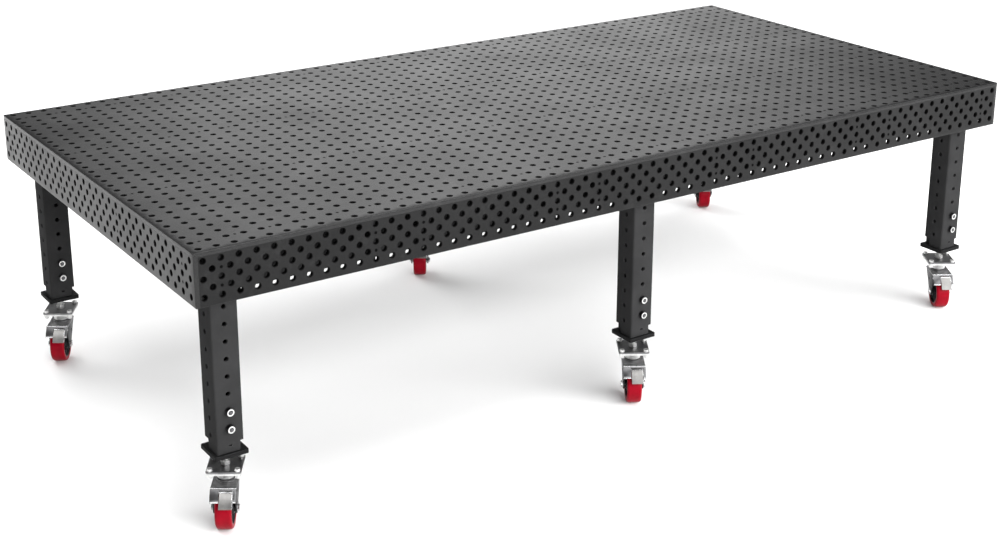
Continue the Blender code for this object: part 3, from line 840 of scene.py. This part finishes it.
def castor_mount_mesh():
    parts = []
    bolts = [(u, v) for u in (-MOUNT_BOLT_U, MOUNT_BOLT_U) for v in (-MOUNT_BOLT_V, MOUNT_BOLT_V)]
    for low, high, half_u, half_v, key in MOUNT_PLATES:
        slab = prism(rounded_rectangle(half_u, half_v, MOUNT_CORNER), low, high, MOUNT_ROUND, 2)
        slot = rounded_rectangle(*MOUNT_SLOT, 4)
        cuts = [moved(prism(slot, low - SPARE, high + SPARE), u, v) for u, v in bolts]
        parts.append((carved(slab, cuts), key))
    for u, v in bolts:
        spin = Matrix.Rotation(31.0 * u * v * 1000 + u * 40, 4, "Z")  # each bolt stands its own way
        pieces = [
            (washer(*MOUNT_WASHER, 0.1700, 0.1714), "neck"),
            (hexagon_solid(MOUNT_FLATS, 0.1714, 0.1775, MOUNT_CHAMFER), "neck"),
            (washer(*MOUNT_WASHER, 0.1577, 0.1590), "neck"),
            (nut(MOUNT_FLATS, 0.1500, 0.1577, MOUNT_THREAD, MOUNT_CHAMFER), "neck"),
            (threaded(MOUNT_THREAD, 0.1490, 0.1720, MOUNT_PITCH, 14, 0.0006), "zinc"),
        ]
        parts += [(moved(turned(shape, spin), u, v), key) for shape, key in pieces]
    # the levelling stem, the nut on the plate, and the lock nut and washer under the base plate
    parts.append((threaded(0.0088, 0.1705, 0.2535, 0.002, 24, 0.0015), "neck"))
    parts.append((nut(0.024, 0.1702, 0.1830, 0.0086), "neck"))
    parts.append((washer(0.0160, 0.0092, 0.2075, 0.2097), "neck"))
    parts.append((nut(0.028, 0.1970, 0.2075, 0.0086), "neck"))
    parts.append((lathe(NECK_PROFILE, 48), "neck"))
    return joined("castor_mount", parts)


AXLE = (0.038, 0.058)
AXLE_PROFILE = ((0.0, -0.0385), (0.0040, -0.0385), (0.0048, -0.0375), (0.0048, 0.0375),
                (0.0040, 0.0385), (0.0, 0.0385))
CROWN_TOP = 0.130
CROWN = ((-0.0300, -0.0300), (-0.0250, -0.0350), (0.0620, -0.0350), (0.0620, 0.0350),
         (-0.0250, 0.0350), (-0.0300, 0.0300))
RACE_PROFILE = ((0.0254, 0.1295), (0.0320, 0.1295), (0.0312, 0.1318), (0.0285, 0.1326), (0.0254, 0.1326))
# a thin black sleeve round the neck's foot: a dust seal, and painted shade under the neck
SEAL_AND_SHADE_PROFILE = ((0.0247, 0.1302), (0.0256, 0.1302), (0.0256, 0.1345), (0.0247, 0.1345))
ARM_INSIDE, ARM_OUTSIDE = 0.028, 0.032
ARM_HOLE_AT, ARM_HOLE = (0.012, 0.096), 0.0055
# the sloping cover over the wheel, from the crown down to its flared lip
COVER = ((0.0580, CROWN_TOP), (0.0580, CROWN_TOP - 0.003), (0.0640, CROWN_TOP - 0.003),
         (0.0800, 0.1110), (0.0830, 0.1040), (0.0900, 0.1000), (0.0912, 0.1020), (0.0858, 0.1054),
         (0.0828, 0.1130), (0.0655, CROWN_TOP))
COVER_HALF, TRIM_HALF = 0.0350, 0.0352
LIP_AT, LIP_RADIUS = (0.0902, 0.1012), 0.0016
RAIL_AT, RAIL_RADIUS = (0.0640, CROWN_TOP - 0.0012), 0.0022
PIVOT = (0.067, 0.1175)
PIVOT_PROFILE = ((0.0, -0.0345), (0.0028, -0.0345), (0.0034, -0.0337), (0.0034, 0.0337),
                 (0.0028, 0.0345), (0.0, 0.0345))
PEDAL_V = (-0.0095, 0.0265)


def fork_mesh():
    parts = [(prism(CROWN, CROWN_TOP - 0.005, CROWN_TOP, 0.0012, 3), "grey"),
             (lathe(RACE_PROFILE, 48, closed=True), "grey"),
             (lathe(SEAL_AND_SHADE_PROFILE, 48, closed=True), "seal")]
    outline = [(0.0600, CROWN_TOP - 0.002), (-0.0280, CROWN_TOP - 0.002), (-0.0275, 0.118),
               *arc(AXLE, 0.0155, 196, 375, 12), (0.0585, 0.090), (0.0640, 0.112)]
    for side in (-1, 1):
        ends = sorted((side * ARM_INSIDE, side * ARM_OUTSIDE))
        arm = along_y(prism(outline, *ends, 0.0008, 2))
        hole = along_y(prism(ring_points(ARM_HOLE, 24), -0.05, 0.05))
        # the arms in near-black zinc, painted shade on their sides
        parts.append((carved(arm, [moved(hole, ARM_HOLE_AT[0], 0.0, ARM_HOLE_AT[1])]), "black"))
        facing = Matrix.Rotation(math.pi if side > 0 else 0.0, 4, "Z")
        cap = turned(along_y(nut(0.018, 0.0, 0.0055, 0.0045, 0.0010)), facing)
        parts.append((moved(cap, AXLE[0], side * 0.0330, AXLE[1]), "bolt"))
        ring = turned(along_y(washer(0.0100, 0.0050, 0.0, 0.0012)), facing)
        parts.append((moved(ring, AXLE[0], side * ARM_OUTSIDE, AXLE[1]), "bolt"))
    parts.append((moved(along_y(lathe(AXLE_PROFILE, 20)), AXLE[0], 0.0, AXLE[1]), "zinc"))
    cover = along_y(prism(COVER, -COVER_HALF, COVER_HALF))
    round_edges(cover, 0.0007, 2)
    window = box((0.0660, 0.100), (PEDAL_V[0] - 0.0015, PEDAL_V[1] + 0.0012), (0.090, 0.1262))
    parts.append((carved(cover, [window]), "grey"))
    # rods in bright zinc along the cover's lip, a painted highlight on its edge
    for low, high in ((-TRIM_HALF, PEDAL_V[0] - 0.0018), (PEDAL_V[1] + 0.0014, TRIM_HALF)):
        lip = along_y(prism(ring_points(LIP_RADIUS, 10, centre=LIP_AT), -high, -low))
        round_edges(lip, 0.0004, 1, 60.0)
        parts.append((lip, "bolt"))
    # a rod in bright zinc along the crown's front edge, a painted highlight of its rolled edge
    rail = along_y(prism(ring_points(RAIL_RADIUS, 12, centre=RAIL_AT), -TRIM_HALF, TRIM_HALF))
    round_edges(rail, 0.0005, 1, 60.0)
    parts.append((rail, "bolt"))
    parts.append((moved(along_y(lathe(PIVOT_PROFILE, 16)), PIVOT[0], 0.0, PIVOT[1]), "zinc"))
    ear = [(0.058, 0.127), (0.058, 0.116), *arc(PIVOT, 0.006, 200, 360, 6), (0.073, 0.120), (0.066, 0.127)]
    for low, high in ((PEDAL_V[0] - 0.0035, PEDAL_V[0] - 0.0010), (PEDAL_V[1] - 0.0025, PEDAL_V[1])):
        parts.append((along_y(prism(ear, -high, -low, 0.0004, 1)), "zinc"))
    return joined("fork", parts)


TREAD_RADIUS, TREAD_HALF, TREAD_LAND = 0.058, 0.0232, 0.0110
SHOULDER_AT, SHOULDER = 0.0500, 0.0077  # where the shoulder starts, and its radius
HUB_PROFILE = (
    (0.0068, 0.0262), (0.0110, 0.0262), (0.0118, 0.0254), (0.0118, 0.0242), (0.0145, 0.0242),
    (0.0155, 0.0236), (0.0160, 0.0222), (0.0168, 0.0150), (0.0190, 0.0136), (0.0370, 0.0136),
    (0.0400, 0.0146), (0.0415, 0.0190), (0.0420, 0.0216), (0.0430, 0.0222), (0.0442, 0.0218),
)
SPOKES = 6
SPOKE = ((0.0165, 0.0405), (-0.0016, 0.0016), (0.0130, 0.0188))


def mirrored(half):
    """A profile and its mirror image below zero, in one closed run."""
    return [*half, *((r, -h) for r, h in reversed(half))]


def tread_mesh():
    half = [(0.0440, TREAD_HALF - 0.0012), (0.0470, TREAD_HALF - 0.0004), (SHOULDER_AT, TREAD_HALF)]
    for degrees in (15, 30, 45, 60, 75, 90):
        angle = math.radians(degrees)
        half.append((SHOULDER_AT + SHOULDER * math.sin(angle), TREAD_HALF - SHOULDER * (1 - math.cos(angle))))
    half.append((TREAD_RADIUS, TREAD_HALF - TREAD_LAND))
    return joined("tread", [(along_y(lathe(mirrored(half), 96, closed=True)), "tread")])


def hub_mesh():
    parts = [(along_y(lathe(mirrored(HUB_PROFILE), 72, closed=True)), "hub")]
    for side in (1, -1):
        for i in range(SPOKES):
            spoke = turned(box(*SPOKE, 0.0006, 1), Matrix.Rotation(2 * math.pi / SPOKES * i, 4, "Z"))
            spoke = along_y(spoke)
            if side < 0:
                turned(spoke, Matrix.Rotation(math.pi, 4, "Z"))
            parts.append((spoke, "hub"))
    return joined("hub", parts)


PEDAL_OUTER, PEDAL_INNER = 0.0714, 0.0688
FLANGE_INNER, FLANGE_THICK = 0.0640, 0.0022
PEDAL_END = 64  # degrees round the axle


def pedal_mesh():
    """A pressed sheet curved over the tread, with an upright flange on one side and a barrel."""
    low, high = -PEDAL_V[1], -PEDAL_V[0]

    def strip(outer, inner, start, stop, across, bevel=0.0005):
        outline = arc(AXLE, outer, start, stop, 12) + arc(AXLE, inner, stop, start, 12)
        shape = along_y(prism(outline, *across))
        round_edges(shape, bevel, 1, 40.0)
        return shape
    barrel = along_y(lathe([(0.0036, low), (0.0058, low), (0.0062, low + 0.0006), (0.0062, high - 0.0006),
                            (0.0058, high), (0.0036, high)], 24, closed=True))
    return joined("pedal", [
        (strip(PEDAL_OUTER, PEDAL_INNER, 24.5, PEDAL_END, (low, high)), "pedal"),
        # the flange and the front-edge strip (60.5 to 64 degrees) are in bright zinc: painted highlight on
        # the pressed sheet
        (strip(PEDAL_OUTER, FLANGE_INNER, 26, 63, (low, low + FLANGE_THICK), 0.0004), "bolt"),
        (strip(0.0728, 0.0690, 24.2, 27.0, (low, high)), "pedal"),
        (strip(0.0726, 0.0700, 60.5, PEDAL_END, (low, high)), "bolt"),
        (moved(barrel, PIVOT[0], 0.0, PIVOT[1]), "pedal"),
    ])


def build_legs():
    joints = {j["name"]: j for j in frame["joints"]}
    meshes = {"leg_tube_": leg_mesh(), "clamping_bolts_": clamping_bolts_mesh(), "base_": foot_mesh(),
              "castor_mount_": castor_mount_mesh(), "castor_fork_": fork_mesh(), "tread_": tread_mesh(),
              "hub_": hub_mesh(), "pedal_": pedal_mesh()}
    for place in PLACES:
        leg_low, leg_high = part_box("leg_" + place)
        foot_low, foot_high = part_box("foot_" + place)
        centre = ((leg_low.x + leg_high.x) / 2, (foot_low.y + foot_high.y) / 2, 0.0)
        wheel_spin = joints["wheel_spin_" + place]
        yaw = math.atan2(-wheel_spin["axis"][0], wheel_spin["axis"][1])
        straight, castor, wheel = (centre, 0.0), (centre, yaw), (wheel_spin["pos_m"], yaw)
        # piece, body, slot, where it stands, CAD node it replaces
        for piece, body, slot, (spot, turn), node in (
                ("leg_tube_", "table", "black_coat", straight, "leg_"),
                ("clamping_bolts_", "table", "zinc", straight, None),
                ("base_", "foot_" + place, "foot_black", straight, "foot_"),
                ("castor_mount_", "castor_head_" + place, "zinc", castor, "castor_head_"),
                ("castor_fork_", "fork_" + place, "zinc", castor, "fork_"),
                ("tread_", "wheel_" + place, "red_tread", wheel, "wheel_"),
                ("hub_", "wheel_" + place, "red_tread", wheel, None),
                ("pedal_", "brake_pedal_" + place, "pedal_zinc", castor, "brake_pedal_")):
            show(piece + place, meshes[piece], body, slot, spot, turn, (node + place,) if node else ())


def dress_ribs():
    for name, node in frame["nodes"].items():
        if "rib" in name:
            node.data.materials.clear()
            node.data.materials.append(finish["rib"])


# Room, light and camera

GLOW_TOWARDS = (0.52, 0.81, 0.29)
GLOW_EDGE = 0.95  # cosine of the angle at which the glow ends
WORLD_BASE = 0.15
WORLD_GLOW = 1.45
FLOOR_HALF = 40.0
FLOOR_TONES = (0.80, 0.80, 0.80), (0.84, 0.84, 0.84)
LENS, SENSOR, CLIP_END = 59.06, 36.0, 200.0
SHIFT = (0.0134, -0.1236)
CAMERA_AT = (-3.0002, -4.3581, 2.3044)
CAMERA_TURN = (1.2665, 0.0001, -0.5833)
SOFTBOXES = (  # name, place, aim, size, watts, seen in reflections
    ("key_front", (2.0, -7.0, 4.0), (0.0, 0.0, 0.2), (12.0, 5.0), 520.0, True),
    ("key_soft", (1.0, -6.5, 3.0), (0.0, 0.0, 0.2), (9.0, 4.0), 900.0, False),
    ("overhead", (0.0, 0.0, 6.5), (0.0, 0.0, 0.0), (9.0, 7.0), 620.0, True),
    ("right_fill", (7.5, 2.0, 2.2), (0.0, 0.0, 0.1), (4.0, 2.0), 200.0, False),
    ("floor_wash", (-2.0, 7.0, 4.0), (-2.0, 3.0, 0.0), (6.0, 4.0), 480.0, False),
)


def build_room():
    floor_material, tree, shader = nodes_of("floor")
    coords = tree.nodes.new("ShaderNodeTexCoord")
    cloud = noise(tree, coords.outputs["Object"], 1.2, 3.0)
    tree.links.new(mix_colour(tree, cloud, *FLOOR_TONES), shader.inputs["Base Color"])
    shader.inputs["Roughness"].default_value = 0.9
    shader.inputs["Specular IOR Level"].default_value = 0.1
    mesh = bpy.data.meshes.new("floor")
    corners = [(x * FLOOR_HALF, y * FLOOR_HALF, 0) for x, y in ((-1, -1), (1, -1), (1, 1), (-1, 1))]
    mesh.from_pydata(corners, [], [(0, 1, 2, 3)])
    mesh.materials.append(floor_material)
    floor = bpy.data.objects.new("floor", mesh)
    bpy.context.scene.collection.objects.link(floor)

    world = bpy.data.worlds.new("studio")
    world.use_nodes = True
    tree = world.node_tree
    background = tree.nodes["Background"]
    background.inputs["Color"].default_value = (1.0, 1.0, 1.0, 1.0)
    coords = tree.nodes.new("ShaderNodeTexCoord")
    dot = tree.nodes.new("ShaderNodeVectorMath")
    dot.operation = "DOT_PRODUCT"
    dot.inputs[1].default_value = Vector(GLOW_TOWARDS).normalized()
    tree.links.new(coords.outputs["Generated"], dot.inputs[0])
    glow = remap(tree, dot.outputs["Value"], GLOW_EDGE, 1.0, 0.0, 1.0, smooth=True)
    tree.links.new(remap(tree, glow, 0.0, 1.0, WORLD_BASE, WORLD_GLOW), background.inputs["Strength"])
    bpy.context.scene.world = world


def softbox(name, place, aim, size, power, glossy):
    light = bpy.data.lights.new(name, "AREA")
    light.shape = "RECTANGLE"
    light.size, light.size_y = size
    light.energy = power
    made = bpy.data.objects.new(name, light)
    bpy.context.scene.collection.objects.link(made)
    made.location = place
    made.rotation_euler = (Vector(aim) - Vector(place)).to_track_quat("-Z", "Y").to_euler()
    made.visible_camera = False
    made.visible_glossy = glossy


def build_camera():
    data = bpy.data.cameras.new("camera")
    data.sensor_width = SENSOR
    data.lens = LENS
    data.shift_x, data.shift_y = SHIFT
    data.clip_end = CLIP_END
    camera = bpy.data.objects.new("camera", data)
    bpy.context.scene.collection.objects.link(camera)
    camera.location = CAMERA_AT
    camera.rotation_euler = CAMERA_TURN
    bpy.context.scene.camera = camera
    bpy.context.scene.view_settings.view_transform = "Standard"


build_top()
build_long_side(-1, "side_plate_front")
build_long_side(1, "side_plate_back")
build_end_side(-1, "end_plate_left")
build_end_side(1, "end_plate_right")
dress_ribs()
build_legs()
build_room()
for row in SOFTBOXES:
    softbox(*row)
build_camera()
